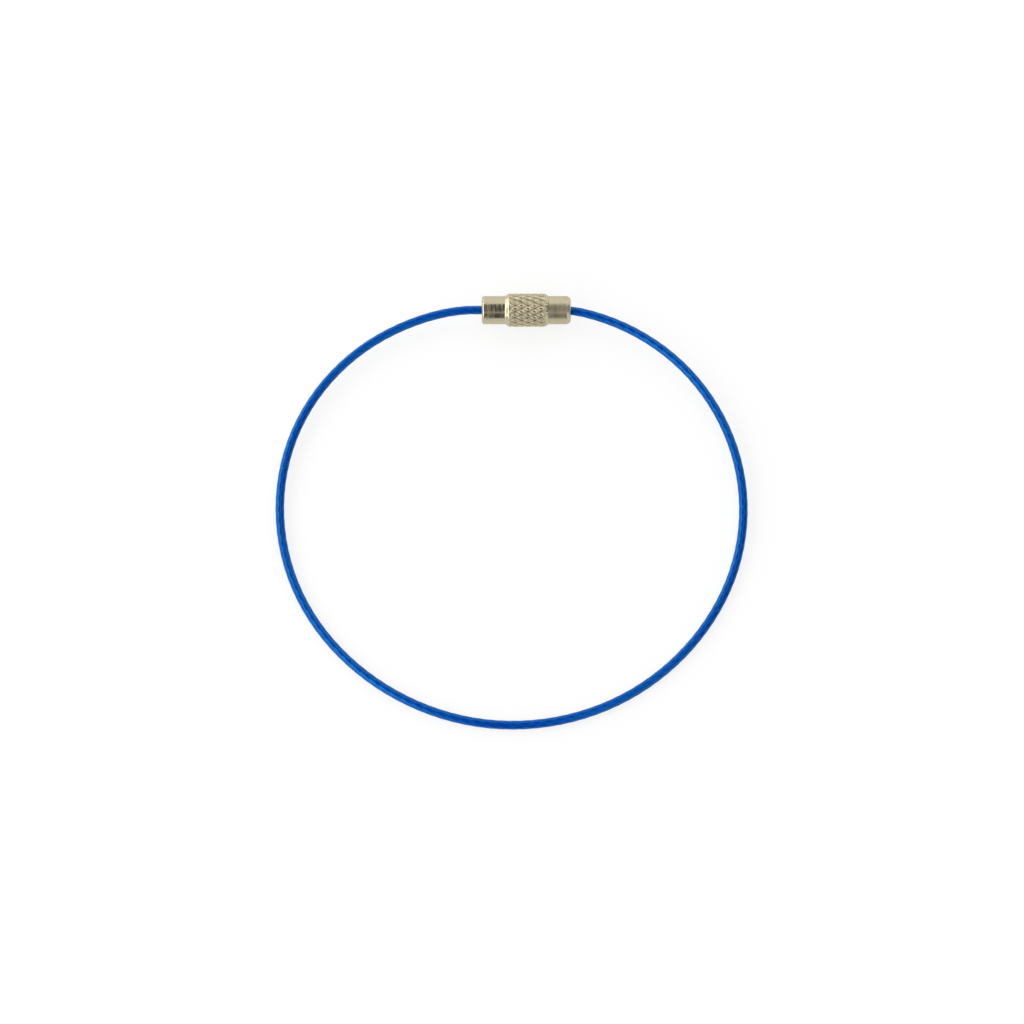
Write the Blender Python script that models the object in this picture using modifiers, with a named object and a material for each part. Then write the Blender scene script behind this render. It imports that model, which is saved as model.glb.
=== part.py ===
"""Keyring loop of plastic-coated wire rope, closed by a knurled screw clasp.

The loop lies on the ground plane. The clasp lies along X with its middle at x = 0, and the
loop runs from its two ends towards -Y. Beside the clasp the cable is held up at the clasp's
axis, and further off it comes down to the ground. The barrel turns on the cable end that it
holds, and its inner thread draws the stud, which is crimped on the other cable end, in or out.
Clasp pieces are turned along their own Z, which is then laid along world X.
"""

import math

import bmesh
import bpy
import numpy as np

MM = 0.001

# Clasp, outside
PLAIN_DIAMETER = 5.1 * MM       # smooth end of the barrel, and the stud's head
KNURL_DIAMETER = 6.0 * MM       # over the tips of the diamonds
BARREL_PLAIN_LENGTH = 4.0 * MM
KNURL_LENGTH = 8.0 * MM         # with both chamfers
KNURL_CHAMFER = 0.85 * MM       # length of the slope at each end of the knurl
KNURL_DEPTH = 0.22 * MM
KNURL_STARTS = 16               # diamonds round the barrel
DIAMOND_LENGTH = 2.34 * MM      # one diamond along the barrel
HEAD_LENGTH = 4.0 * MM
EDGE_CHAMFER = 0.3 * MM         # at the barrel's free end
HEAD_ROUNDING = 0.55 * MM       # at the stud's free end

# Cable
JACKET_DIAMETER = 1.5 * MM
STRAND_DIAMETER = 0.32 * MM
OUTER_STRANDS = 6
STRAND_GAP = 0.02 * MM          # between the core strand and the outer ones
LAY_LENGTH = 12.5 * MM          # one turn of an outer strand
BORE_CLEARANCE = 0.07 * MM      # rope to the inside of the jacket
LANDING = 85.0 * MM             # cable from the clasp to where it first lies on the ground

# Thread, between the barrel and the stud
THREAD_DIAMETER = 4.0 * MM
THREAD_PITCH = 0.7 * MM
THREAD_DEPTH = 0.28 * MM
THREAD_LENGTH = 5.0 * MM        # how far the stud reaches into the barrel
THREAD_RUNOUT = 0.5 * MM        # plain neck under the head
NECK_UNDERCUT = 0.15 * MM       # neck below the thread's root
THREAD_CLEARANCE = 0.05 * MM
SEAT_GAP = 0.05 * MM            # head to barrel when the clasp is screwed home

# Inside the barrel and the stud
END_WALL = 1.4 * MM             # barrel's end, which holds the stop back
CABLE_CLEARANCE = 0.2 * MM      # cable to the hole that it turns in
STOP_DIAMETER = 3.2 * MM
STOP_LENGTH = 3.2 * MM
STOP_GROOVE = 0.15 * MM         # depth of the two crimped waists
STOP_PLAY = 0.1 * MM            # stop to the end wall, and jacket to the stop
SOCKET_DEPTH = 1.8 * MM         # where the jacket sits in the head
SOCKET_CLEARANCE = 0.15 * MM
CRIMP_DEPTH = 3.6 * MM          # where the bare rope is crimped, beyond the socket
CRIMP_CLEARANCE = 0.05 * MM     # rope to the holes that it is crimped in

# Faces
BARREL_SIDES = 2 * KNURL_STARTS
TURNED_SIDES = 24
THREAD_SIDES = 16
POINTS_PER_LAY = 8
JACKET_STEP = 3.4 * MM          # between two points of the jacket's curve
END_STEP = 0.8 * MM             # the same, beside the clasp

# Free loop seen from above, from the barrel round to the stud
ROUTE = [(x * MM, y * MM) for x, y in (
    (-10.3, 0.0), (-13.2, -0.3), (-20.45, -2.35), (-29.65, -7.55), (-36.9, -15.05),
    (-41.75, -24.4), (-43.7, -34.7), (-42.75, -45.15), (-39.0, -55.0), (-32.75, -63.5),
    (-24.55, -70.2), (-15.0, -74.7), (-4.65, -76.65), (5.85, -75.85), (15.8, -72.4),
    (24.55, -66.5), (31.55, -58.6), (36.35, -49.2), (38.4, -38.9), (37.55, -28.5),
    (33.85, -18.7), (27.55, -10.25), (19.1, -3.95), (11.5, -0.85), (8.6, -0.2))]

# Places along the clasp, and radii, from the sizes above
CLASP_LENGTH = BARREL_PLAIN_LENGTH + KNURL_LENGTH + HEAD_LENGTH
BARREL_END = -CLASP_LENGTH / 2
STUD_END = CLASP_LENGTH / 2
MOUTH = STUD_END - HEAD_LENGTH                  # open face of the barrel
SHOULDER = MOUTH + SEAT_GAP                     # stud's face that meets it
STUD_TIP = MOUTH - THREAD_LENGTH
AXIS_HEIGHT = KNURL_DIAMETER / 2
ROOT_RADIUS = THREAD_DIAMETER / 2 - THREAD_DEPTH
CHAMBER_RADIUS = ROOT_RADIUS + THREAD_CLEARANCE
ROPE_RADIUS = 1.5 * STRAND_DIAMETER + STRAND_GAP
CRIMP_RADIUS = ROPE_RADIUS + CRIMP_CLEARANCE
STOP_START = BARREL_END + END_WALL + STOP_PLAY
STOP_END = STOP_START + STOP_LENGTH
SOCKET_FLOOR = STUD_END - SOCKET_DEPTH
CRIMP_FLOOR = SOCKET_FLOOR - CRIMP_DEPTH


def surface(name, colour, roughness, metallic):
    material = bpy.data.materials.new(name)
    material.use_nodes = True
    shader = material.node_tree.nodes["Principled BSDF"]
    shader.inputs["Base Color"].default_value = (*colour, 1.0)
    shader.inputs["Roughness"].default_value = roughness
    shader.inputs["Metallic"].default_value = metallic
    material.diffuse_color = (*colour, 1.0)
    return material


def link(name, data, collection, material=None):
    piece = bpy.data.objects.new(name, data)
    collection.objects.link(piece)
    if material:
        data.materials.append(material)
    return piece


def freeze(piece):
    """Gives the piece its evaluated mesh, with loose caps welded, and drops its modifiers."""
    graph = bpy.context.evaluated_depsgraph_get()
    mesh = bpy.data.meshes.new_from_object(piece.evaluated_get(graph), depsgraph=graph)
    bm = bmesh.new()
    bm.from_mesh(mesh)
    bmesh.ops.remove_doubles(bm, verts=bm.verts, dist=1e-7)
    bm.to_mesh(mesh)
    bm.free()
    name, place = piece.name, piece.matrix_world.copy()
    collection = piece.users_collection[0]
    bpy.data.objects.remove(piece)
    solid = link(name, mesh, collection)
    solid.matrix_world = place
    return solid


def shade(piece, degrees=35):
    piece.data.shade_smooth()
    piece.data.set_sharp_from_angle(angle=math.radians(degrees))


def turned(name, profile, closed, sides, collection, material):
    """Turns (radius, place) points round the clasp's axis."""
    mesh = bpy.data.meshes.new(name)
    count = len(profile)
    edges = [(i, i + 1) for i in range(count - 1)] + ([(count - 1, 0)] if closed else [])
    mesh.from_pydata([(radius, 0, place) for radius, place in profile], edges, [])
    piece = link(name, mesh, collection, material)
    screw = piece.modifiers.new("Turning", "SCREW")
    screw.steps = screw.render_steps = sides
    screw.use_merge_vertices = True
    screw.merge_threshold = 1e-6
    return freeze(piece)


def lay_along_x(piece):
    piece.rotation_euler = (0, math.pi / 2, 0)
    piece.location = (0, 0, AXIS_HEIGHT)
    bpy.context.view_layer.update()


def wire(name, points, radius, resolution, collection, material=None, taper=None, caps=True):
    curve = bpy.data.curves.new(name, "CURVE")
    curve.dimensions = "3D"
    curve.bevel_depth = radius
    curve.bevel_resolution = resolution
    curve.use_fill_caps = caps
    spline = curve.splines.new("POLY")
    spline.points.add(len(points) - 1)
    for index, (point, place) in enumerate(zip(spline.points, points)):
        point.co = (*place, 1.0)
        if taper is not None:
            point.radius = taper[index]
    return link(name, curve, collection, material)


def boolean(piece, cutter, operation):
    modifier = piece.modifiers.new(operation.title(), "BOOLEAN")
    modifier.operation = operation
    modifier.solver = "EXACT"
    modifier.object = cutter
    material = piece.data.materials[0]
    solid = freeze(piece)
    solid.data.materials.clear()
    solid.data.materials.append(material)
    return solid


def hide_cutter(cutter):
    cutter.hide_render = True
    cutter.display_type = "WIRE"


def thread_ridge(name, start, end, depth, collection, tapered):
    """Right-hand ridge of square section set on edge, half of it sunk in the root."""
    step = THREAD_PITCH / THREAD_SIDES
    turns = np.arange(math.ceil(start / step), math.floor(end / step) + 1) / THREAD_SIDES
    angles = 2 * math.pi * turns
    points = np.stack([ROOT_RADIUS * np.cos(angles), ROOT_RADIUS * np.sin(angles),
                       THREAD_PITCH * turns], axis=1)
    taper = None
    if tapered:
        half_turn = THREAD_SIDES / 2
        order = np.arange(len(turns))
        taper = np.clip((np.minimum(order, order[::-1]) + 1) / half_turn, 0, 1)
    ridge = wire(name, points, depth, 0, collection, taper=taper)
    ridge.data.twist_mode = "Z_UP"
    return freeze(ridge)


def cut_knurl(barrel, rows):
    """Sinks every second point of the knurled band and creases it into four-sided points."""
    bm = bmesh.new()
    bm.from_mesh(barrel.data)
    row_step = rows[1] - rows[0]
    pits, band = set(), set()
    for vert in bm.verts:
        radius = math.hypot(vert.co.x, vert.co.y)
        row = (vert.co.z - rows[0]) / row_step
        if radius < KNURL_DIAMETER / 2 - 1e-6 or not -0.5 < row < len(rows) - 0.5:
            continue
        column = math.atan2(vert.co.y, vert.co.x) / (2 * math.pi) * BARREL_SIDES
        band.add(vert)
        if (round(row) + round(column)) % 2:
            pits.add(vert)
    for face in [face for face in bm.faces if set(face.verts) <= band]:
        low = [vert for vert in face.verts if vert in pits]
        bmesh.utils.face_split(face, low[0], low[1])
    scale = 1 - 2 * KNURL_DEPTH / KNURL_DIAMETER
    for vert in pits:
        vert.co.x *= scale
        vert.co.y *= scale
    bm.to_mesh(barrel.data)
    bm.free()


def make_barrel(parts, cutters, nickel):
    plain = PLAIN_DIAMETER / 2
    hole = JACKET_DIAMETER / 2 + CABLE_CLEARANCE
    knurl_start = BARREL_END + BARREL_PLAIN_LENGTH + KNURL_CHAMFER
    knurl_end = MOUTH - KNURL_CHAMFER
    row_count = max(2, round(2 * (knurl_end - knurl_start) / DIAMOND_LENGTH))
    rows = np.linspace(knurl_start, knurl_end, row_count + 1)
    profile = [(CHAMBER_RADIUS + EDGE_CHAMFER / 2, MOUTH), (plain, MOUTH)]
    profile += [(KNURL_DIAMETER / 2, row) for row in rows[::-1]]
    profile += [(plain, BARREL_END + BARREL_PLAIN_LENGTH),
                (plain, BARREL_END + EDGE_CHAMFER),
                (plain - EDGE_CHAMFER, BARREL_END),
                (hole + EDGE_CHAMFER / 2, BARREL_END),
                (hole, BARREL_END + EDGE_CHAMFER / 2),
                (hole, BARREL_END + END_WALL),
                (CHAMBER_RADIUS, BARREL_END + END_WALL),
                (CHAMBER_RADIUS, MOUTH - EDGE_CHAMFER / 2)]
    barrel = turned("barrel", profile, True, BARREL_SIDES, parts, nickel)
    cut_knurl(barrel, rows)
    groove = thread_ridge("thread_cutter", STUD_TIP - THREAD_PITCH / 2, MOUTH + THREAD_PITCH,
                          THREAD_DEPTH + THREAD_CLEARANCE, cutters, tapered=False)
    hide_cutter(groove)
    barrel = boolean(barrel, groove, "DIFFERENCE")
    lay_along_x(barrel)
    shade(barrel, 20)


def make_stud(parts, cutters, nickel):
    head = PLAIN_DIAMETER / 2
    socket = JACKET_DIAMETER / 2 + SOCKET_CLEARANCE
    profile = [(0, CRIMP_FLOOR), (CRIMP_RADIUS, CRIMP_FLOOR), (CRIMP_RADIUS, SOCKET_FLOOR),
               (socket, SOCKET_FLOOR), (socket, STUD_END - EDGE_CHAMFER),
               (socket + EDGE_CHAMFER / 2, STUD_END)]
    for degrees in (0, 30, 60, 90):
        angle = math.radians(degrees)
        profile.append((head - HEAD_ROUNDING * (1 - math.sin(angle)),
                        STUD_END - HEAD_ROUNDING * (1 - math.cos(angle))))
    neck = ROOT_RADIUS - NECK_UNDERCUT
    profile += [(head, SHOULDER), (neck, SHOULDER),
                (neck, MOUTH - THREAD_RUNOUT + NECK_UNDERCUT),
                (ROOT_RADIUS, MOUTH - THREAD_RUNOUT), (ROOT_RADIUS, STUD_TIP + EDGE_CHAMFER),
                (ROOT_RADIUS - EDGE_CHAMFER, STUD_TIP), (0, STUD_TIP)]
    stud = turned("threaded_stud", profile, False, TURNED_SIDES, parts, nickel)
    ridge = thread_ridge("thread_ridge", STUD_TIP + EDGE_CHAMFER, MOUTH - THREAD_RUNOUT,
                         THREAD_DEPTH, cutters, tapered=True)
    hide_cutter(ridge)
    stud = boolean(stud, ridge, "UNION")
    lay_along_x(stud)
    shade(stud)


def make_stop(parts, aluminium):
    outer = STOP_DIAMETER / 2
    waist = outer - STOP_GROOVE
    profile = [(CRIMP_RADIUS, STOP_END), (waist, STOP_END)]
    for share, radius in ((0.95, outer), (0.8, outer), (0.75, waist), (0.6, waist),
                          (0.55, outer), (0.45, outer), (0.4, waist), (0.25, waist),
                          (0.2, outer), (0.05, outer)):
        profile.append((radius, STOP_START + share * STOP_LENGTH))
    profile += [(waist, STOP_START), (CRIMP_RADIUS, STOP_START)]
    stop = turned("stop_ferrule", profile, True, TURNED_SIDES, parts, aluminium)
    lay_along_x(stop)
    shade(stop)


class Route:
    """Cubic spline through the cable's points, smooth in slope and in curvature."""

    def __init__(self, points, start_slope, end_slope):
        self.points = points
        self.chords = np.linalg.norm(np.diff(self.points, axis=0), axis=1)
        self.knots = np.concatenate(([0.0], np.cumsum(self.chords)))
        count = len(points)
        matrix = np.eye(count)
        target = np.zeros((count, 3))
        target[0], target[-1] = start_slope, end_slope
        for i in range(1, count - 1):
            before, after = self.chords[i - 1], self.chords[i]
            matrix[i, i - 1:i + 2] = after, 2 * (before + after), before
            target[i] = 3 * (after * (self.points[i] - self.points[i - 1]) / before
                             + before * (self.points[i + 1] - self.points[i]) / after)
        self.slopes = np.linalg.solve(matrix, target)
        dense = np.linspace(0, self.knots[-1], 4000)
        places = self.at_knot(dense)
        self.lengths = np.concatenate(
            ([0.0], np.cumsum(np.linalg.norm(np.diff(places, axis=0), axis=1))))
        self.dense = dense
        self.length = self.lengths[-1]

    def at_knot(self, knot):
        span = np.clip(np.searchsorted(self.knots, knot, side="right") - 1,
                       0, len(self.chords) - 1)
        width = self.chords[span][:, None]
        t = (knot - self.knots[span])[:, None] / width
        return ((1 + 2 * t) * (1 - t) ** 2 * self.points[span]
                + t * (1 - t) ** 2 * width * self.slopes[span]
                + t ** 2 * (3 - 2 * t) * self.points[span + 1]
                - t ** 2 * (1 - t) * width * self.slopes[span + 1])

    def at(self, distance):
        return self.at_knot(np.interp(distance, self.lengths, self.dense))


def cable_route():
    """Route of the whole rope, from the stop's inner end to the bottom of the stud's bore."""
    plan = np.array([(BARREL_END, 0)] + ROUTE + [(SOCKET_FLOOR, 0)])
    steps = np.linalg.norm(np.diff(plan, axis=0), axis=1)
    run = np.concatenate(([0.0], np.cumsum(steps)))
    share = np.clip(np.minimum(run, run[-1] - run) / LANDING, 0, 1)
    drop = (AXIS_HEIGHT - JACKET_DIAMETER / 2) * share ** 2 * (3 - 2 * share)
    free = np.column_stack((plan, AXIS_HEIGHT - drop))
    start, end = (STOP_END, 0, AXIS_HEIGHT), (CRIMP_FLOOR + STOP_PLAY, 0, AXIS_HEIGHT)
    return Route(np.vstack((start, free, end)), (-1, 0, 0), (-1, 0, 0))


def graded_stations(start, end):
    """Distances along the cable, close together beside the clasp and wider further off."""
    half, stations = (end - start) / 2, [0.0]
    while stations[-1] < half:
        stations.append(stations[-1] + min(JACKET_STEP, END_STEP + stations[-1] / 4))
    near = np.array(stations) * half / stations[-1]
    return np.concatenate((start + near, end - near[-2::-1]))


def make_jacket(parts, route, blue):
    """Tube from the stop to the socket's floor, open at both ends."""
    start = STOP_END - STOP_START + STOP_PLAY
    end = route.length - (SOCKET_FLOOR - CRIMP_FLOOR)
    points = route.at(graded_stations(start, end))
    jacket = freeze(wire("cable_jacket", points, JACKET_DIAMETER / 2, 2, parts, blue, caps=False))
    wall = jacket.modifiers.new("Wall", "SOLIDIFY")
    wall.thickness = JACKET_DIAMETER / 2 - ROPE_RADIUS - BORE_CLEARANCE
    wall.offset = -1
    shade(jacket, 60)


def make_strands(parts, route, steel):
    """Core strand, and the outer strands as right-hand helices round it."""
    count = round(route.length / LAY_LENGTH * POINTS_PER_LAY) + 1
    distance = np.linspace(0, route.length, count)
    centre = route.at(distance)
    wire("core_strand", centre[::2], STRAND_DIAMETER / 2, 0, parts, steel)
    tangent = np.gradient(centre, distance, axis=0)
    tangent /= np.linalg.norm(tangent, axis=1)[:, None]
    side = np.cross((0, 0, 1), tangent)
    side /= np.linalg.norm(side, axis=1)[:, None]
    up = np.cross(tangent, side)
    helix_radius = STRAND_DIAMETER + STRAND_GAP
    for strand in range(OUTER_STRANDS):
        angle = 2 * math.pi * (distance / LAY_LENGTH + strand / OUTER_STRANDS)[:, None]
        points = centre + helix_radius * (np.cos(angle) * side + np.sin(angle) * up)
        wire(f"outer_strand_{strand + 1}", points, STRAND_DIAMETER / 2, 0, parts, steel)


def build():
    for old in list(bpy.data.objects):
        bpy.data.objects.remove(old)
    parts = bpy.data.collections.new("wire_loop")
    cutters = bpy.data.collections.new("cutters")
    for collection in (parts, cutters):
        bpy.context.scene.collection.children.link(collection)
    nickel = surface("nickel_plate", (0.62, 0.58, 0.48), 0.25, 1.0)
    steel = surface("galvanised_steel", (0.50, 0.50, 0.49), 0.35, 1.0)
    aluminium = surface("aluminium", (0.72, 0.72, 0.73), 0.4, 1.0)
    blue = surface("blue_coating", (0.0, 0.07, 0.36), 0.3, 0.0)
    make_barrel(parts, cutters, nickel)
    make_stud(parts, cutters, nickel)
    make_stop(parts, aluminium)
    route = cable_route()
    make_jacket(parts, route, blue)
    make_strands(parts, route, steel)


build()
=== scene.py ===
import math
import bpy
import numpy as np
from mathutils import Matrix, Vector


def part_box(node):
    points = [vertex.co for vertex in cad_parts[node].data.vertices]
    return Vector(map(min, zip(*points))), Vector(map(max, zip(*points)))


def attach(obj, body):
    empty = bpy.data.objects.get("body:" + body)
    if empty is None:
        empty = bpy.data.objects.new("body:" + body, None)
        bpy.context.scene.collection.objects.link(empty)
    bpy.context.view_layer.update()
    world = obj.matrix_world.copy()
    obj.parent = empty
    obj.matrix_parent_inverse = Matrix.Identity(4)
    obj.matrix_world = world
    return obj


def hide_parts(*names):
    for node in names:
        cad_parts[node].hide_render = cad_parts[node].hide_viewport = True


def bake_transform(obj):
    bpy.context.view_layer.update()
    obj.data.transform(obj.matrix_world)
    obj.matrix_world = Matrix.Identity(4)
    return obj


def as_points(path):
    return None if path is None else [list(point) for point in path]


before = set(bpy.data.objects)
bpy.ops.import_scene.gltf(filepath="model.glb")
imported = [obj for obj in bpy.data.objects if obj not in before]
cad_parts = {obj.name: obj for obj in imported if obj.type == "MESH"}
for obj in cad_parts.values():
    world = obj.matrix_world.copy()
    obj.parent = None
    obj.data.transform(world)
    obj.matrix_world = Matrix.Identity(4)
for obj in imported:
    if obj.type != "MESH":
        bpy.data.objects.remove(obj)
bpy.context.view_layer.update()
print("frame loaded, nodes:", len(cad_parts))

# Keyring loop of blue coated wire rope, closed by a knurled screw clasp.
# Everything is in metres; the clasp lies along X, and the loop runs from it towards -Y.
mm = 0.001
scene = bpy.context.scene
scene.view_settings.view_transform = "Standard"

barrelLow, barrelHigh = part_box("barrel")
studLow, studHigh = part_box("threaded_stud")
stopLow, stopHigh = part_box("stop_ferrule")
axisHeight = (barrelLow.z + barrelHigh.z) / 2
knurlRadius = (barrelHigh.z - barrelLow.z) / 2
plainRadius = (studHigh.z - studLow.z) / 2
claspStart, mouth, studTip, claspEnd = barrelLow.x, barrelHigh.x, studLow.x, studHigh.x

photo = {
    "framePixels": 1024,
    "pixelsPerMm": 5.55,             # at the clasp
    "claspPixel": (526.25, 310.15),  # middle of the clasp in the picture
    "elevation": 71.5,               # degrees above the table
    "distance": 650 * mm,            # camera to clasp
    "sensorMm": 36.0,
    "nearest": 10 * mm,
    "farthest": 20.0,
}


def placeCamera():
    # looks down along +Y from the elevation; it stands back from the clasp by the distance, then
    # shifts sideways and upwards until the clasp falls on its pixel
    elevation = math.radians(photo["elevation"])
    right = Vector((1, 0, 0))
    up = Vector((0, math.sin(elevation), math.cos(elevation)))
    forward = Vector((0, math.cos(elevation), -math.sin(elevation)))
    pixel = mm / photo["pixelsPerMm"]
    across = (photo["claspPixel"][0] - photo["framePixels"] / 2) * pixel
    down = (photo["claspPixel"][1] - photo["framePixels"] / 2) * pixel
    clasp = Vector(((claspStart + claspEnd) / 2, 0, axisHeight))
    camera = bpy.data.objects.new("camera", bpy.data.cameras.new("camera"))
    scene.collection.objects.link(camera)
    camera.data.sensor_width = photo["sensorMm"]
    camera.data.lens = photo["sensorMm"] * photo["distance"] / (photo["framePixels"] * pixel)
    camera.data.clip_start = photo["nearest"]
    camera.data.clip_end = photo["farthest"]
    place = clasp - forward * photo["distance"] - right * across + up * down
    turn = Matrix((right, up, -forward)).transposed()
    camera.matrix_world = Matrix.Translation(place) @ turn.to_4x4()
    scene.camera = camera


placeCamera()
print("camera placed")


# small tools for meshes and materials

def linear(hexColour):
    # sRGB hex to linear, with the sRGB curve
    parts = [int(hexColour[i:i + 2], 16) / 255 for i in (1, 3, 5)]
    return [p / 12.92 if p <= 0.04045 else ((p + 0.055) / 1.055) ** 2.4 for p in parts] + [1.0]


def addNode(tree, kind, settings=None, links=None):
    # a key is a property, a socket's name or its number; a colour mix has its share at 0, its
    # two colours at 6 and 7 and its result at 2
    node = tree.nodes.new(kind)
    for key, value in (settings or {}).items():
        if isinstance(key, str) and hasattr(node, key):
            setattr(node, key, value)
        else:
            node.inputs[key].default_value = value
    for key, source in (links or {}).items():
        tree.links.new(source, node.inputs[key])
    return node


def newMaterial(name, **sockets):
    material = bpy.data.materials.new(name)
    material.use_nodes = True
    shader = material.node_tree.nodes["Principled BSDF"]
    for key, value in sockets.items():
        shader.inputs[key.replace("_", " ")].default_value = value
    return material, material.node_tree, shader


def gridPiece(name, rings, joined, material, values=None):
    # rings[i, j] is spot j of ring i; spots wrap round, and rings wrap too when joined,
    # else each end is closed by a fan to the middle of its ring
    rows, columns = rings.shape[:2]
    number = np.arange(rows * columns).reshape(rows, columns)
    here, ahead = (number, np.roll(number, -1, 0)) if joined else (number[:-1], number[1:])
    quads = np.stack([here, np.roll(here, -1, 1), np.roll(ahead, -1, 1), ahead], -1).reshape(-1, 4)
    places, fans = rings.reshape(-1, 3), np.zeros((0, 3), int)
    if not joined:
        places = np.vstack([places, rings[[0, -1]].mean(1)])
        first, last = number[0], number[-1]
        tips = np.full(columns, rows * columns)
        fans = np.vstack([np.stack([tips, np.roll(first, -1), first], -1),
                          np.stack([tips + 1, last, np.roll(last, -1)], -1)])
    # faces point outwards when the volume that they enclose comes out positive
    a, b, c, d = (places[quads[:, k]] for k in range(4))
    volume = (np.cross(a, b) * c).sum() + (np.cross(a, c) * d).sum()
    if volume < 0:
        quads, fans = quads[:, ::-1], fans[:, ::-1]
    mesh = bpy.data.meshes.new(name)
    mesh.vertices.add(len(places))
    mesh.vertices.foreach_set("co", places.astype(np.float32).ravel())
    mesh.loops.add(quads.size + fans.size)
    mesh.loops.foreach_set("vertex_index", np.concatenate([quads.ravel(), fans.ravel()]))
    mesh.polygons.add(len(quads) + len(fans))
    starts = np.concatenate([np.arange(len(quads)) * 4, quads.size + np.arange(len(fans)) * 3])
    mesh.polygons.foreach_set("loop_start", starts)
    mesh.update(calc_edges=True)
    mesh.shade_smooth()
    for key, array in (values or {}).items():
        flat = array.ravel()
        flat = np.concatenate([flat, np.zeros(len(places) - len(flat))]).astype(np.float32)
        mesh.attributes.new(key, "FLOAT", "POINT").data.foreach_set("value", flat)
    piece = bpy.data.objects.new(name, mesh)
    scene.collection.objects.link(piece)
    mesh.materials.append(material)
    return piece


turned = {
    "pull": 0.55,                # of a corner on its curve; 0.55 comes close to an arc
    "curveStep": 0.045 * mm,     # between two points of such a curve
    "sharp": 0.02 * mm,          # rounding of a crisp edge
    "soft": 0.05 * mm,           # rounding of a broken edge
    "lead": 0.15 * mm,           # chamfer where a hole opens
    "match": 0.01 * mm,          # two radii this close are one and the same
}


def roundedProfile(corners, closed):
    # corners are (place, radius, rounding, spacing): each becomes a cubic curve, close to an arc,
    # that starts and ends `rounding` away, and the stretch after it has a point every `spacing`
    spots = np.array([corner[:2] for corner in corners])
    count = len(spots)

    def towards(i, other):
        way = spots[other % count] - spots[i]
        rounding = corners[i][2] if closed or 0 < i < count - 1 else 0
        return spots[i] + way * rounding / np.linalg.norm(way)

    line = []
    for i, corner in enumerate(corners):
        rounding, spacing = corner[2:]
        start, end = towards(i, i - 1), towards(i, i + 1)
        if rounding and (closed or 0 < i < count - 1):
            pulls = [side + (spots[i] - side) * turned["pull"] for side in (start, end)]
            steps = max(2, round(rounding / turned["curveStep"]))
            t = np.linspace(0, 1, steps + 1)[:, None]
            line += list((1 - t) ** 3 * start + 3 * t * (1 - t) ** 2 * pulls[0]
                         + 3 * t ** 2 * (1 - t) * pulls[1] + t ** 3 * end)
        else:
            line.append(spots[i])
        if spacing and (closed or i < count - 1):
            reach = towards((i + 1) % count, i) - end
            number = max(1, round(np.linalg.norm(reach) / spacing))
            line += [end + reach * k / number for k in range(1, number)]
    return np.array(line)


def claspRings(place, radius, angle):
    # ring at `place` along the axis; angle 0 is straight down and grows by way of +Y
    place, radius, angle = np.broadcast_arrays(place, radius, angle)
    return np.stack([place, radius * np.sin(angle), axisHeight - radius * np.cos(angle)], -1)


# cable: points of its route in millimetres, seen from above, from the barrel round to the stud
cable = {
    "diameter": 1.5 * mm,
    "crest": 0.79 * mm,          # radius over the strands, where the coating stands proud
    "landing": 85 * mm,          # cable from the clasp to where it first lies on the table
    "lay": 12.5 * mm,            # one turn of an outer strand
    "strands": 6,
    "strandDiameter": 0.32 * mm,
    "strandGap": 0.02 * mm,
    "bore": 0.57 * mm,           # radius inside the coating
    "fluteDepth": 0.032 * mm,    # dip of the coating between two strands
    "coatInset": 0.1 * mm,       # bare rope between the stop sleeve and the coating
    "socketDepth": 1.8 * mm,
    "crimpDepth": 5.3 * mm,      # from the stud's end to the rope's end
    "coatSpots": 48,
    "coatSpacing": 0.33 * mm,
    "boreEvery": 8,              # rings of the outside to one ring of the bore
    "strandSpots": 10,
    "strandSpacing": 0.6 * mm,
    "pathSpacing": 2 * mm,
    "routeSteps": 8000,          # in which the route's length is measured
    "routeMm": [
        (-10.3, 0.0), (-13.2, -0.3), (-20.45, -2.35), (-29.65, -7.55), (-36.9, -15.05),
        (-41.75, -24.4), (-43.7, -34.7), (-42.75, -45.15), (-39.0, -55.0), (-32.75, -63.5),
        (-24.55, -70.2), (-15.0, -74.7), (-4.65, -76.65), (5.85, -75.85), (15.8, -72.4),
        (24.55, -66.5), (31.55, -58.6), (36.35, -49.2), (38.4, -38.9), (37.55, -28.5),
        (33.85, -18.7), (27.55, -10.25), (19.1, -3.95), (11.5, -0.85), (8.6, -0.2)],
}


def splineThrough(points, slope):
    # cubic pieces through the points, equal in slope and curvature where they meet, with the
    # given slope at both ends; returns a function of distance along the curve, and its length
    chord = np.linalg.norm(np.diff(points, axis=0), axis=1)
    knots = np.concatenate(([0.0], np.cumsum(chord)))
    matrix, target = np.eye(len(points)), np.zeros_like(points)
    target[[0, -1]] = slope
    for i in range(1, len(points) - 1):
        before, after = chord[i - 1], chord[i]
        matrix[i, i - 1:i + 2] = after, 2 * (before + after), before
        target[i] = 3 * (after * (points[i] - points[i - 1]) / before
                         + before * (points[i + 1] - points[i]) / after)
    slopes = np.linalg.solve(matrix, target)

    def atKnot(knot):
        span = np.clip(np.searchsorted(knots, knot, side="right") - 1, 0, len(chord) - 1)
        width = chord[span][:, None]
        t = (knot - knots[span])[:, None] / width
        return ((1 + 2 * t) * (1 - t) ** 2 * points[span] + t * (1 - t) ** 2 * width * slopes[span]
                + t ** 2 * (3 - 2 * t) * points[span + 1] - t ** 2 * (1 - t) * width * slopes[span + 1])

    fine = np.linspace(0, knots[-1], cable["routeSteps"])
    steps = np.linalg.norm(np.diff(atKnot(fine), axis=0), axis=1)
    run = np.concatenate(([0.0], np.cumsum(steps)))
    return (lambda distance: atKnot(np.interp(distance, run, fine))), run[-1]


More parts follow.
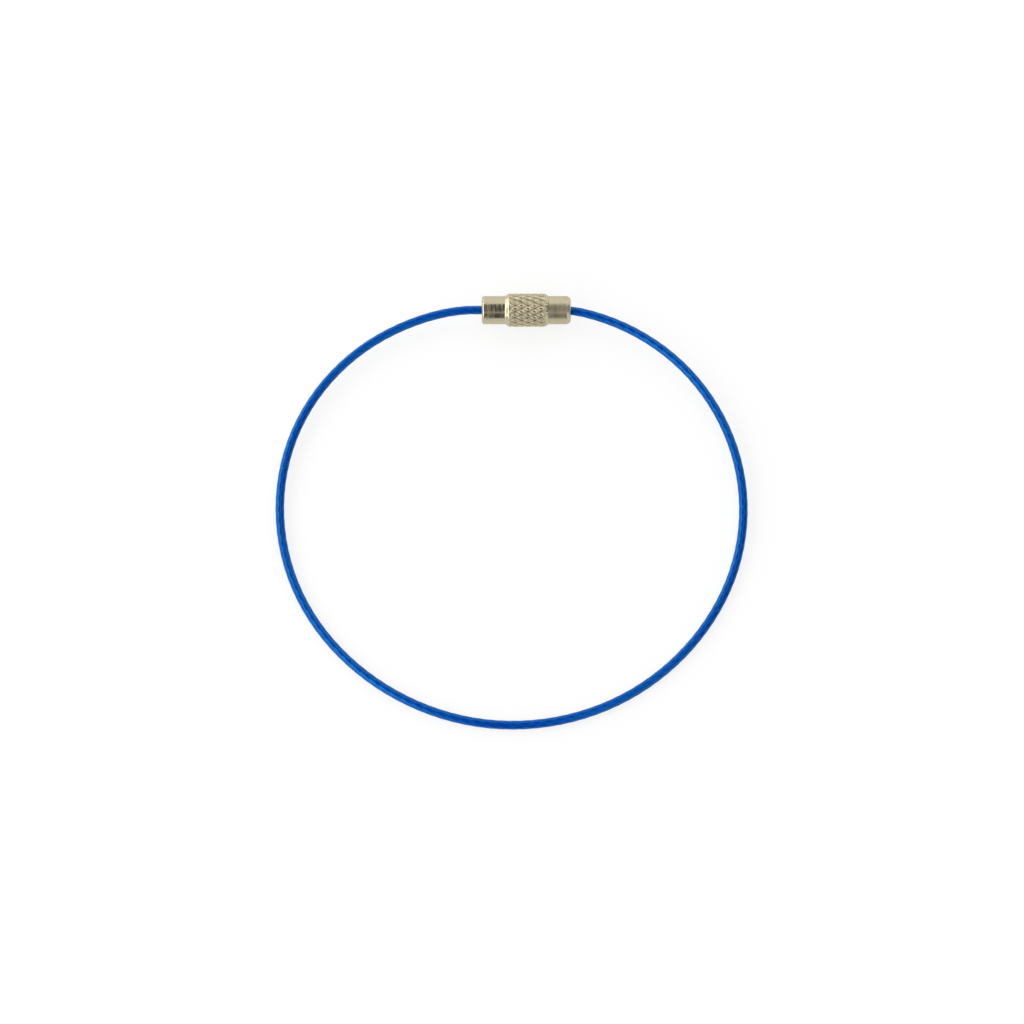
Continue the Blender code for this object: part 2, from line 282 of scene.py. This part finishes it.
def cableRoute():
    # the cable is level with the clasp's axis beside it and comes down to the table by
    # 3s^2 - 2s^3, where s is the share of the landing distance
    socketFloor = claspEnd - cable["socketDepth"]
    inner = [(x * mm, y * mm) for x, y in cable["routeMm"]]
    plan = np.array([(claspStart, 0)] + inner + [(socketFloor, 0)])
    run = np.concatenate(([0.0], np.cumsum(np.linalg.norm(np.diff(plan, axis=0), axis=1))))
    share = np.clip(np.minimum(run, run[-1] - run) / cable["landing"], 0, 1)
    drop = (axisHeight - cable["diameter"] / 2) * share ** 2 * (3 - 2 * share)
    free = np.column_stack((plan, axisHeight - drop))
    start = (stopHigh.x, 0, axisHeight)
    end = (claspEnd - cable["crimpDepth"], 0, axisHeight)
    return splineThrough(np.vstack((start, free, end)), (-1, 0, 0))


# distances along the rope are counted from its end at the stop sleeve
route, ropeLength = cableRoute()
insideBarrel = stopHigh.x - claspStart
freeLength = ropeLength - insideBarrel - cable["crimpDepth"]
coatEnd = ropeLength - (cable["crimpDepth"] - cable["socketDepth"])


def cableFrame(distance):
    # centre, sideways and upward directions of the cable at each distance
    centre = route(distance)
    tangent = np.gradient(centre, distance, axis=0)
    tangent /= np.linalg.norm(tangent, axis=1)[:, None]
    side = np.cross((0, 0, 1), tangent)
    side /= np.linalg.norm(side, axis=1)[:, None]
    return centre, side, np.cross(tangent, side)


def tubeRings(distance, radius, angle):
    # ring round the cable's centre at each distance
    centre, side, up = cableFrame(distance)
    along = np.cos(angle)[..., None] * side[:, None] + np.sin(angle)[..., None] * up[:, None]
    return centre[:, None] + radius[..., None] * along


def bendWithClasp(piece, distance, columns, tips=()):
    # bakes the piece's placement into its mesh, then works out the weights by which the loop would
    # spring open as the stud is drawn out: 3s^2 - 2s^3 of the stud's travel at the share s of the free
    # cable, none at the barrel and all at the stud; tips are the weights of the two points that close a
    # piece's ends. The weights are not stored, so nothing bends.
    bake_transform(piece)
    share = np.clip((distance - insideBarrel) / freeLength, 0, 1)
    weight = np.repeat(share ** 2 * (3 - 2 * share), columns)
    weight = np.concatenate([weight, tips]).astype(np.float32)


vinyl = {
    "thickAndShadedDipColour": "#002E8C",       # the blue is deeper in the dips, where the coating is thick, and darker there with painted shade between the strands
    "crestColour": "#0038A1",
    "hazeColour": "#0041A8",
    "steelTint": "#38D6FF",       # the steel's reflections, seen through the coating
    "steelShare": 0.1,
    "hazeSize": 1.2 * mm,         # patches of haze and scuffs from handling
    "hazeRange": (0.35, 0.75),    # of the noise
    "hazeMost": 0.3,
    "peelSize": 0.12 * mm,        # orange peel of the extruder
    "peelHeight": 0.01 * mm,
    "peelStrength": 0.25,
    "roughness": (0.2, 0.34),
}


def extrudedVinyl():
    # clear blue PVC, extruded hot over bright steel strands: the steel's own reflections come
    # back through it strong and tinted blue
    material, tree, shader = newMaterial(
        "extrudedVinyl", Metallic=vinyl["steelShare"], IOR=1.55, Specular_IOR_Level=1.0,
        Specular_Tint=linear(vinyl["steelTint"]))
    lobe = addNode(tree, "ShaderNodeAttribute", {"attribute_name": "lobe"})
    coordinate = addNode(tree, "ShaderNodeTexCoord")
    haze = addNode(tree, "ShaderNodeTexNoise", {"Scale": 1 / vinyl["hazeSize"], "Detail": 3.0},
                   {"Vector": coordinate.outputs["Object"]})
    # deeper blue in the dips between strands: thicker coating, and painted shade
    blend = addNode(tree, "ShaderNodeMix", {
        "data_type": "RGBA", 6: linear(vinyl["thickAndShadedDipColour"]), 7: linear(vinyl["crestColour"])},
        {0: lobe.outputs["Fac"]})
    amount = addNode(tree, "ShaderNodeMapRange", {
        "From Min": vinyl["hazeRange"][0], "From Max": vinyl["hazeRange"][1],
        "To Max": vinyl["hazeMost"]}, {"Value": haze.outputs["Fac"]})
    hazed = addNode(tree, "ShaderNodeMix", {"data_type": "RGBA", 7: linear(vinyl["hazeColour"])},
                    {0: amount.outputs[0], 6: blend.outputs[2]})
    tree.links.new(hazed.outputs[2], shader.inputs["Base Color"])
    peel = addNode(tree, "ShaderNodeTexNoise", {"Scale": 1 / vinyl["peelSize"], "Detail": 2.0},
                   {"Vector": coordinate.outputs["Object"]})
    bump = addNode(tree, "ShaderNodeBump", {
        "Strength": vinyl["peelStrength"], "Distance": vinyl["peelHeight"]},
        {"Height": peel.outputs["Fac"]})
    tree.links.new(bump.outputs[0], shader.inputs["Normal"])
    rough = addNode(tree, "ShaderNodeMapRange", {
        "To Min": vinyl["roughness"][0], "To Max": vinyl["roughness"][1]},
        {"Value": haze.outputs["Fac"]})
    tree.links.new(rough.outputs[0], shader.inputs["Roughness"])
    return material


def spottedMetal(name, finish):
    # bare metal whose colour and roughness both follow one noise, from its dark and smooth to
    # its light and rough spots
    material, tree, shader = newMaterial(name, Metallic=1.0)
    coordinate = addNode(tree, "ShaderNodeTexCoord")
    spots = addNode(tree, "ShaderNodeTexNoise", {"Scale": 1 / finish["spotSize"], "Detail": 4.0},
                    {"Vector": coordinate.outputs["Object"]})
    colour = addNode(tree, "ShaderNodeMix", {
        "data_type": "RGBA", 6: linear(finish["darkColour"]), 7: linear(finish["lightColour"])},
        {0: spots.outputs["Fac"]})
    tree.links.new(colour.outputs[2], shader.inputs["Base Color"])
    rough = addNode(tree, "ShaderNodeMapRange", {
        "To Min": finish["roughness"][0], "To Max": finish["roughness"][1]},
        {"Value": spots.outputs["Fac"]})
    tree.links.new(rough.outputs[0], shader.inputs["Roughness"])
    return material


wire = {
    "spotSize": 0.4 * mm,
    "darkColour": "#8F9090",
    "lightColour": "#C9CACB",
    "roughness": (0.25, 0.5),
}


def galvanisedWire():
    # steel wire with a drawn coat of zinc: grey and half dull, with brighter spots
    return spottedMetal("galvanisedWire", wire)


def makeCoat(material):
    # outer skin: radius = the crest's, less the flute depth times (1 - cos(strands * turn from
    # the nearest strand)) / 2; then the bore, ring by ring back to the start
    start = cable["coatInset"]
    count = round((coatEnd - start) / cable["coatSpacing"])
    outward = np.linspace(start, coatEnd, count)
    back = outward[::-cable["boreEvery"]]
    angle = np.linspace(0, 2 * np.pi, cable["coatSpots"], endpoint=False)
    fromStrand = angle[None] - 2 * np.pi * outward[:, None] / cable["lay"]
    dip = (1 - np.cos(cable["strands"] * fromStrand)) / 2
    skin = tubeRings(outward, cable["crest"] - cable["fluteDepth"] * dip,
                     np.broadcast_to(angle, dip.shape))
    inner = (len(back), len(angle))
    bore = tubeRings(back[::-1], np.full(inner, cable["bore"]), np.broadcast_to(angle, inner))[::-1]
    # lobe is 1 on a strand and 0 in a dip; the dips take the deeper blue, partly painted shade
    lobe = np.vstack([1 - dip, np.zeros(inner)])
    coat = gridPiece("cableCoat", np.concatenate([skin, bore]), True, material,
                     {"lobe": lobe})
    bendWithClasp(coat, np.concatenate([outward, back]), len(angle))
    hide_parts("cable_jacket")
    return coat


def makeStrand(name, node, turn, radius, material):
    # round wire whose centre circles the cable's centre once per lay length
    count = round(ropeLength / cable["strandSpacing"])
    distance = np.linspace(0, ropeLength, count)
    centre, side, up = cableFrame(distance)
    swing = (2 * np.pi * distance / cable["lay"] + turn)[:, None]
    line = centre + radius * (np.cos(swing) * side + np.sin(swing) * up)
    tangent = np.gradient(line, distance, axis=0)
    tangent /= np.linalg.norm(tangent, axis=1)[:, None]
    across = np.cross((0, 0, 1), tangent)
    across /= np.linalg.norm(across, axis=1)[:, None]
    over = np.cross(tangent, across)
    angle = np.linspace(0, 2 * np.pi, cable["strandSpots"], endpoint=False)[None, :, None]
    rings = line[:, None] + cable["strandDiameter"] / 2 * (
        np.cos(angle) * across[:, None] + np.sin(angle) * over[:, None])
    strand = gridPiece(name, rings, False, material)
    bendWithClasp(strand, distance, cable["strandSpots"], tips=(0.0, 1.0))
    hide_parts(node)
    return strand


wireMaterial = galvanisedWire()
coat = makeCoat(extrudedVinyl())
strands = [makeStrand("coreStrand", "core_strand", 0, 0, wireMaterial)]
for k in range(cable["strands"]):
    strands.append(makeStrand(f"outerStrand{k + 1}", f"outer_strand_{k + 1}",
                              2 * np.pi * k / cable["strands"],
                              cable["strandDiameter"] + cable["strandGap"], wireMaterial))
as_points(route(np.arange(0, coatEnd, cable["pathSpacing"])))
print("cable made, free length", round(freeLength / mm, 1), "mm")


plating = {
    "dullColour": "#B0A68A",
    "brightColour": "#CCC3A6",
    # dark colour of the knurl's grooves: polish left in them, and painted shade in the hollows
    "residueAndShadeColour": "#5F5133",
    "ringWidth": 0.42 * mm,       # rings from the lathe, along the clasp
    "ringLength": 3 * mm,         # and round it
    "ringRange": (0.36, 0.66),    # of the noise
    "ringHeight": 0.016 * mm,
    "ringStrength": 0.3,
    "flankRoughness": 0.16,       # what the knurl's flanks are duller by
    "brushing": 0.55,
}


def nickelPlate(name, smoothest, roughest, shift):
    # bright nickel plated over turned brass: warm and mirror-like, with the lathe's rings still showing
    # as streaks round the piece, and the knurl's grooves painted dark, partly for polish left in them
    # and partly as painted shade
    material, tree, shader = newMaterial(name, Metallic=1.0, Anisotropic=plating["brushing"])
    coordinate = addNode(tree, "ShaderNodeTexCoord")
    ringSpace = addNode(tree, "ShaderNodeMapping", {
        "Location": (shift, shift, 0),
        "Scale": (1 / plating["ringWidth"], 1 / plating["ringLength"], 1 / plating["ringLength"])},
        {"Vector": coordinate.outputs["Object"]})
    rings = addNode(tree, "ShaderNodeTexNoise", {"Scale": 1.0, "Detail": 3.0, "Roughness": 0.6},
                    {"Vector": ringSpace.outputs[0]})
    plain = addNode(tree, "ShaderNodeMix", {
        "data_type": "RGBA", 6: linear(plating["dullColour"]), 7: linear(plating["brightColour"])},
        {0: rings.outputs["Fac"]})
    # the groove mask paints the grooves darker: polish left in them, and painted shade
    groove = addNode(tree, "ShaderNodeAttribute", {"attribute_name": "groove"})
    residueAndShadeMix = addNode(tree, "ShaderNodeMix", {
        "data_type": "RGBA", 7: linear(plating["residueAndShadeColour"])},
        {0: groove.outputs["Fac"], 6: plain.outputs[2]})
    tree.links.new(residueAndShadeMix.outputs[2], shader.inputs["Base Color"])
    rough = addNode(tree, "ShaderNodeMapRange", {
        "From Min": plating["ringRange"][0], "From Max": plating["ringRange"][1],
        "To Min": smoothest, "To Max": roughest}, {"Value": rings.outputs["Fac"]})
    # the flanks of the knurl are duller than its tops, which rub on everything
    flank = addNode(tree, "ShaderNodeAttribute", {"attribute_name": "flank"})
    worn = addNode(tree, "ShaderNodeMath", {
        "operation": "MULTIPLY_ADD", 1: plating["flankRoughness"]},
        {0: flank.outputs["Fac"], 2: rough.outputs[0]})
    tree.links.new(worn.outputs[0], shader.inputs["Roughness"])
    bump = addNode(tree, "ShaderNodeBump", {
        "Strength": plating["ringStrength"], "Distance": plating["ringHeight"]},
        {"Height": rings.outputs["Fac"]})
    tree.links.new(bump.outputs[0], shader.inputs["Normal"])
    # brushed round the piece: the tangent is the axis crossed with the way out from it
    outward = addNode(tree, "ShaderNodeVectorMath", {
        "operation": "SUBTRACT", 1: (0, 0, axisHeight)}, {0: coordinate.outputs["Object"]})
    aroundAxis = addNode(tree, "ShaderNodeVectorMath", {
        "operation": "CROSS_PRODUCT", 0: (1, 0, 0)}, {1: outward.outputs[0]})
    inWorld = addNode(tree, "ShaderNodeVectorTransform", {
        "convert_from": "OBJECT", "convert_to": "WORLD"}, {"Vector": aroundAxis.outputs[0]})
    tree.links.new(inWorld.outputs[0], shader.inputs["Tangent"])
    return material


barrel = {
    "spots": 320,                 # round the barrel, 20 to a diamond
    "plainLength": 4.2 * mm,      # from the plain end to the foot of the knurl's slope
    "knurlStart": 4.9 * mm,       # from the plain end to the top of that slope
    "mouthSlope": 0.68 * mm,      # length of the knurl's slope at the mouth
    "mouthRounding": 0.14 * mm,   # at the top of the mouth's slope
    "crownRounding": 0.2 * mm,    # at the top of the other slope
    "footRounding": 0.12 * mm,
    "edge": 0.3 * mm,             # chamfer of the plain end
    "edgeRounding": 0.1 * mm,     # where the chamfer starts
    "endRounding": 0.08 * mm,     # where it meets the end
    "starts": 16,
    "diamondLength": 2.34 * mm,   # along the barrel
    "knurlDepth": 0.18 * mm,
    "shallow": 0.94,              # depth of the left-hand grooves, as a share of the right-hand
    "crossing": 0.12,             # what the shallower groove adds where two cross
    "flatShare": 0.15,            # half the flat top of a diamond, as a share of one diamond
    "diamondPlace": 0.35 * mm,    # middle of one diamond, along the barrel
    "diamondTurn": 16.3,          # degrees from straight up towards the camera
    "runIn": 0.2 * mm,            # in which the grooves reach their depth
    # how deep a groove must be before it is painted darker, for polish left in it and for painted shade
    "residueAndShadeFrom": 0.68,          # share of the depth below which a groove darkens
    "residueAndShadeFade": 0.4,
    "flankGain": 6,               # how fast a flank turns dull below its flat top
    "endWall": 1.4 * mm,
    "holeRadius": 0.95 * mm,
    "chamberRadius": 1.77 * mm,
    "knurlSpacing": 0.06 * mm,    # between rings of the knurl, its foot, its edge and the thread
    "footSpacing": 0.08 * mm,
    "edgeSpacing": 0.05 * mm,
    "threadSpacing": 0.065 * mm,
}

thread = {
    "pitch": 0.7 * mm,
    "depth": 0.28 * mm,
    "crest": 0.075 * mm,          # half the flat on a ridge
    "flank": 30.0,                # degrees
    "rootRadius": 1.72 * mm,
    "clearance": 0.05 * mm,
    "runout": 0.5 * mm,
}


def threadHeight(place, angle, extra):
    # right-hand thread: a ridge where place / pitch - angle / turn is whole, flat on top by
    # crest and sloping down at the flank angle; extra widens it all round
    phase = place / thread["pitch"] - angle / (2 * np.pi)
    off = np.abs(phase - np.round(phase)) * thread["pitch"]
    slope = thread["depth"] * math.tan(math.radians(thread["flank"]))
    return np.clip((thread["crest"] + extra + slope - off) / slope, 0, 1)


def knurlCut(place, angle):
    # two families of helical V grooves, one of each hand, that leave diamonds with small flat
    # tops: in each family the cut grows evenly from the flat's edge to the middle of the groove;
    # the deeper of the two counts, and a share of the other is added
    turns = barrel["starts"] * (angle - math.pi - math.radians(barrel["diamondTurn"])) / (2 * np.pi)
    along = (place - barrel["diamondPlace"]) / barrel["diamondLength"]
    flat = barrel["flatShare"]
    cuts = [share * np.clip((np.abs(phase - np.round(phase)) - flat) / (0.5 - flat), 0, 1)
            for phase, share in ((turns + along, barrel["shallow"]), (turns - along, 1))]
    return np.maximum(*cuts) + barrel["crossing"] * np.minimum(*cuts)


def makeBarrel(material):
    # turned round its axis from the corners: outside from the mouth to the plain end, back
    # through the cable's hole, and through the threaded chamber to the mouth
    hole, wall, chamber = barrel["holeRadius"], claspStart + barrel["endWall"], barrel["chamberRadius"]
    knurlStart, edge = claspStart + barrel["knurlStart"], barrel["edge"]
    threadStart = studTip - thread["pitch"]
    sharp, soft, lead = turned["sharp"], turned["soft"], turned["lead"]
    corners = [
        (mouth, chamber + lead, soft, 0),
        (mouth, plainRadius, sharp, 0),
        (mouth - barrel["mouthSlope"], knurlRadius, barrel["mouthRounding"], barrel["knurlSpacing"]),
        (knurlStart, knurlRadius, barrel["crownRounding"], barrel["knurlSpacing"]),
        (claspStart + barrel["plainLength"], plainRadius, barrel["footRounding"], barrel["footSpacing"]),
        (claspStart + edge, plainRadius, barrel["edgeRounding"], barrel["edgeSpacing"]),
        (claspStart, plainRadius - edge, barrel["endRounding"], 0),
        (claspStart, hole + lead, soft, 0),
        (claspStart + lead, hole, soft, 0),
        (wall, hole, soft, 0),
        (wall, chamber, soft, 0),
        (threadStart, chamber, 0, barrel["threadSpacing"]),
        (mouth - lead, chamber, 0, 0)]
    profile = roundedProfile(corners, True)
    angle = np.linspace(0, 2 * np.pi, barrel["spots"], endpoint=False)[None]
    place, radius = profile[:, :1], profile[:, 1:]
    outside = radius > (chamber + plainRadius) / 2
    inside = (np.abs(radius - chamber) < turned["match"]) & (place >= threadStart)
    # the grooves stop short at the slope next to the plain part; near the mouth they are cut to
    # one depth under the knurl's top, so that the slope there leaves less and less of them
    started = np.clip((place - knurlStart) / barrel["runIn"], 0, 1)
    missing = (place > (knurlStart + mouth) / 2) * (knurlRadius - radius)
    depth = np.maximum(barrel["knurlDepth"] * knurlCut(place, angle) * started - missing, 0)
    fade = np.clip((place - threadStart) / (thread["pitch"] / 2), 0, 1)
    threaded = radius + thread["depth"] * fade * threadHeight(place, angle, thread["clearance"] / 2)
    shape = np.where(outside, radius - depth, np.where(inside, threaded, radius))
    share = depth / barrel["knurlDepth"] * outside
    # the deepest parts of the grooves are painted darker: polish left in them, and painted shade
    residueAndShade = np.clip((share - barrel["residueAndShadeFrom"]) / barrel["residueAndShadeFade"], 0, 1)
    flank = np.clip(share * barrel["flankGain"], 0, 1)
    piece = gridPiece("barrelShell", claspRings(place, shape, angle), True, material,
                      {"groove": residueAndShade, "flank": flank})
    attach(piece, "barrel")
    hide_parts("barrel")


stud = {
    "spots": 192,
    "seatGap": 0.05 * mm,         # between the barrel's mouth and the stud's head
    "neckRadius": 1.57 * mm,
    "socketRadius": 0.9 * mm,
    "crimpRadius": 0.55 * mm,
    "crimpLength": 3.6 * mm,
    "edge": 0.3 * mm,             # chamfer of the tip
    "endSlope": 0.66 * mm,        # length of the slope at the free end
    "endDrop": 0.38 * mm,         # and what it takes off the radius
    "slopeRounding": 0.03 * mm,
    "endRounding": 0.28 * mm,
    "headSpacing": 0.08 * mm,     # between rings of the head, its slope and the thread
    "slopeSpacing": 0.05 * mm,
    "threadSpacing": 0.06 * mm,
}


def makeStud(material):
    # turned round its axis from the corners: outside from the tip over the thread, the neck and
    # the head, then in through the cable's socket and the crimp bore
    shoulder, root = mouth + stud["seatGap"], thread["rootRadius"]
    socketFloor = claspEnd - cable["socketDepth"]
    boreEnd = socketFloor - stud["crimpLength"]
    ridgeEnd = mouth - thread["runout"]
    sharp, soft, lead = turned["sharp"], turned["soft"], turned["lead"]
    corners = [
        (studTip, sharp, 0, 0),
        (studTip, root - stud["edge"], soft, 0),
        (studTip + stud["edge"], root, 0, stud["threadSpacing"]),
        (ridgeEnd, root, 0, stud["slopeSpacing"]),
        (ridgeEnd + lead, stud["neckRadius"], soft, 0),
        (shoulder, stud["neckRadius"], soft, 0),
        (shoulder, plainRadius, sharp, stud["headSpacing"]),
        (claspEnd - stud["endSlope"], plainRadius, stud["slopeRounding"], stud["slopeSpacing"]),
        (claspEnd, plainRadius - stud["endDrop"], stud["endRounding"], 0),
        (claspEnd, stud["socketRadius"] + lead, soft, 0),
        (claspEnd - lead, stud["socketRadius"], soft, 0),
        (socketFloor, stud["socketRadius"], soft, 0),
        (socketFloor, stud["crimpRadius"], soft, 0),
        (boreEnd, stud["crimpRadius"], soft, 0),
        (boreEnd, sharp, 0, 0)]
    profile = roundedProfile(corners, False)
    angle = np.linspace(0, 2 * np.pi, stud["spots"], endpoint=False)[None]
    place, radius = profile[:, :1], profile[:, 1:]
    threaded = (np.abs(radius - root) < turned["match"]) & (place <= ridgeEnd)
    fromEnds = np.minimum(place - studTip - stud["edge"], ridgeEnd - place)
    fade = np.clip(fromEnds / (thread["pitch"] / 2), 0, 1)
    ridges = radius + thread["depth"] * fade * threadHeight(place, angle, 0)
    shape = np.where(threaded, ridges, radius)
    none = np.zeros(shape.shape)
    piece = gridPiece("studShell", claspRings(place, shape, angle), False, material,
                      {"groove": none, "flank": none})
    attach(piece, "stud")
    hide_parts("threaded_stud")


stop = {
    "spots": 96,
    "bore": 0.55 * mm,
    "waistDepth": 0.15 * mm,
    "waists": (0.675, 0.325),     # middles of the waists, as shares of the length
    "waistHalf": 0.075,           # half a waist's flat bottom, and the slope beside it
    "waistSlope": 0.05,
    "flats": 6,
    "rounding": 0.04 * mm,
    "spotSize": 0.3 * mm,
    "darkColour": "#A9ABAE",
    "lightColour": "#D9DBDD",
    "roughness": (0.3, 0.55),
}


def crimpedAluminium():
    # aluminium sleeve pressed on the rope by a crimping tool: soft grey, with dull spots
    return spottedMetal("crimpedAluminium", stop)


def makeStop(material):
    # turned sleeve with two crimped waists; each waist is pressed to six flats:
    # radius = waist / cos(turn from the middle of a flat), no more than the sleeve's own
    outer = (stopHigh.z - stopLow.z) / 2
    waist, bore = outer - stop["waistDepth"], stop["bore"]
    outline = [(1 - stop["waistSlope"], outer)]
    for middle in stop["waists"]:
        half = stop["waistHalf"]
        wide = half + stop["waistSlope"]
        outline += [(middle + wide, outer), (middle + half, waist),
                    (middle - half, waist), (middle - wide, outer)]
    outline.append((stop["waistSlope"], outer))
    length = stopHigh.x - stopLow.x
    between = [(stopLow.x + share * length, radius) for share, radius in outline]
    ends = [(stopHigh.x, bore), (stopHigh.x, waist)], [(stopLow.x, waist), (stopLow.x, bore)]
    corners = [(*spot, stop["rounding"], 0) for spot in ends[0] + between + ends[1]]
    profile = roundedProfile(corners, True)
    angle = np.linspace(0, 2 * np.pi, stop["spots"], endpoint=False)[None]
    place, radius = profile[:, :1], profile[:, 1:]
    flat = 2 * np.pi / stop["flats"]
    turn = (angle + flat / 2) % flat - flat / 2
    pressed = np.minimum(waist / np.cos(turn), outer)
    atWaist = np.abs(radius - waist) < 2 * turned["match"]
    shape = np.where(atWaist, np.maximum(pressed, radius), radius)
    piece = gridPiece("stopSleeve", claspRings(place, shape, angle), True, material)
    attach(piece, "cable")
    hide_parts("stop_ferrule")


makeBarrel(nickelPlate("nickelPlateTurned", smoothest=0.1, roughest=0.34, shift=0.0))
makeStud(nickelPlate("nickelPlateSatin", smoothest=0.29, roughest=0.35, shift=7.0))
makeStop(crimpedAluminium())
print("clasp made")


studio = {
    "tableSize": 4.0,
    "tableGlow": 0.8,             # share of plain white, so that the table stays white
    "paperColour": "#FBFBFA",
    "roomGrey": 0.12,
    "panels": {                   # place, tilt from upright in degrees, size, radiance
        "backPanel": ((0, 0.55, 0.5), 0, (2.2, 1.0), 1.0),
        "leftPanel": ((-0.6, 0, 0.17), 0, (2.4, 0.34), 1.1),
        "leftWindow": ((-0.6, -0.1, 0.6), 0, (1.3, 0.5), 2.9),
        "leftRoof": ((-0.4, 0, 0.88), 90, (2.0, 0.4), 0.4),
        "rightRoof": ((0.29, 0, 0.9), 90, (2.0, 0.28), 1.6),
        "rightPanel": ((0.75, 0, 0.45), 0, (2.4, 0.9), 0.15),
        "frontLeftPanel": ((-0.62, -0.75, 0.32), 0, (0.9, 0.6), 1.3),
        "frontRightPanel": ((0.62, -0.75, 0.32), 0, (0.8, 0.6), 1.2),
        "frontPanel": ((0.05, -0.5, 0.6), 45, (0.3, 0.2), 0.35),
    },
}


def paperTable():
    # matt white paper: white to the eye and in the metal, with its own faint shadow
    material = bpy.data.materials.new("mattPaper")
    material.use_nodes = True
    tree = material.node_tree
    tree.nodes.clear()
    rays = addNode(tree, "ShaderNodeLightPath")
    seen = addNode(tree, "ShaderNodeMath", {"operation": "MAXIMUM"},
                   {0: rays.outputs["Is Camera Ray"], 1: rays.outputs["Is Glossy Ray"]})
    shown = addNode(tree, "ShaderNodeMath", {"operation": "MAXIMUM"},
                    {0: seen.outputs[0], 1: rays.outputs["Is Transmission Ray"]})
    share = addNode(tree, "ShaderNodeMath", {"operation": "MULTIPLY", 1: studio["tableGlow"]},
                    {0: shown.outputs[0]})
    paper = addNode(tree, "ShaderNodeBsdfDiffuse", {"Color": linear(studio["paperColour"])})
    glow = addNode(tree, "ShaderNodeEmission", {"Color": (1, 1, 1, 1), "Strength": 1.0})
    mixed = addNode(tree, "ShaderNodeMixShader", {},
                    {0: share.outputs[0], 1: paper.outputs[0], 2: glow.outputs[0]})
    addNode(tree, "ShaderNodeOutputMaterial", {}, {"Surface": mixed.outputs[0]})
    return material


def makeTable():
    half = studio["tableSize"] / 2
    corners = [(x * half, y * half, 0) for x, y in ((-1, -1), (1, -1), (1, 1), (-1, 1))]
    mesh = bpy.data.meshes.new("table")
    mesh.from_pydata(corners, [], [(0, 1, 2, 3)])
    mesh.materials.append(paperTable())
    table = bpy.data.objects.new("table", mesh)
    scene.collection.objects.link(table)


def hangPanels():
    # each panel stands upright, or tilts over by its angle, and faces the middle of the table;
    # its power = radiance * pi * area
    for name, (place, tilt, size, radiance) in studio["panels"].items():
        lamp = bpy.data.lights.new(name, "AREA")
        lamp.shape, lamp.size, lamp.size_y = "RECTANGLE", *size
        lamp.energy = radiance * math.pi * size[0] * size[1]
        panel = bpy.data.objects.new(name, lamp)
        scene.collection.objects.link(panel)
        facing = math.atan2(place[0], -place[1])
        panel.rotation_euler = (math.radians(90 - tilt), 0, facing)
        panel.location = place
        panel.visible_camera = False


def paintRoom():
    # dim grey to the light, white to the camera
    world = bpy.data.worlds.new("room")
    world.use_nodes = True
    scene.world = world
    tree = world.node_tree
    tree.nodes.clear()
    rays = addNode(tree, "ShaderNodeLightPath")
    grey = studio["roomGrey"]
    colour = addNode(tree, "ShaderNodeMix", {
        "data_type": "RGBA", 6: (grey, grey, grey, 1), 7: (1, 1, 1, 1)},
        {0: rays.outputs["Is Camera Ray"]})
    light = addNode(tree, "ShaderNodeBackground", {"Strength": 1.0}, {"Color": colour.outputs[2]})
    addNode(tree, "ShaderNodeOutputWorld", {}, {"Surface": light.outputs[0]})


makeTable()
hangPanels()
paintRoom()
print("studio made")
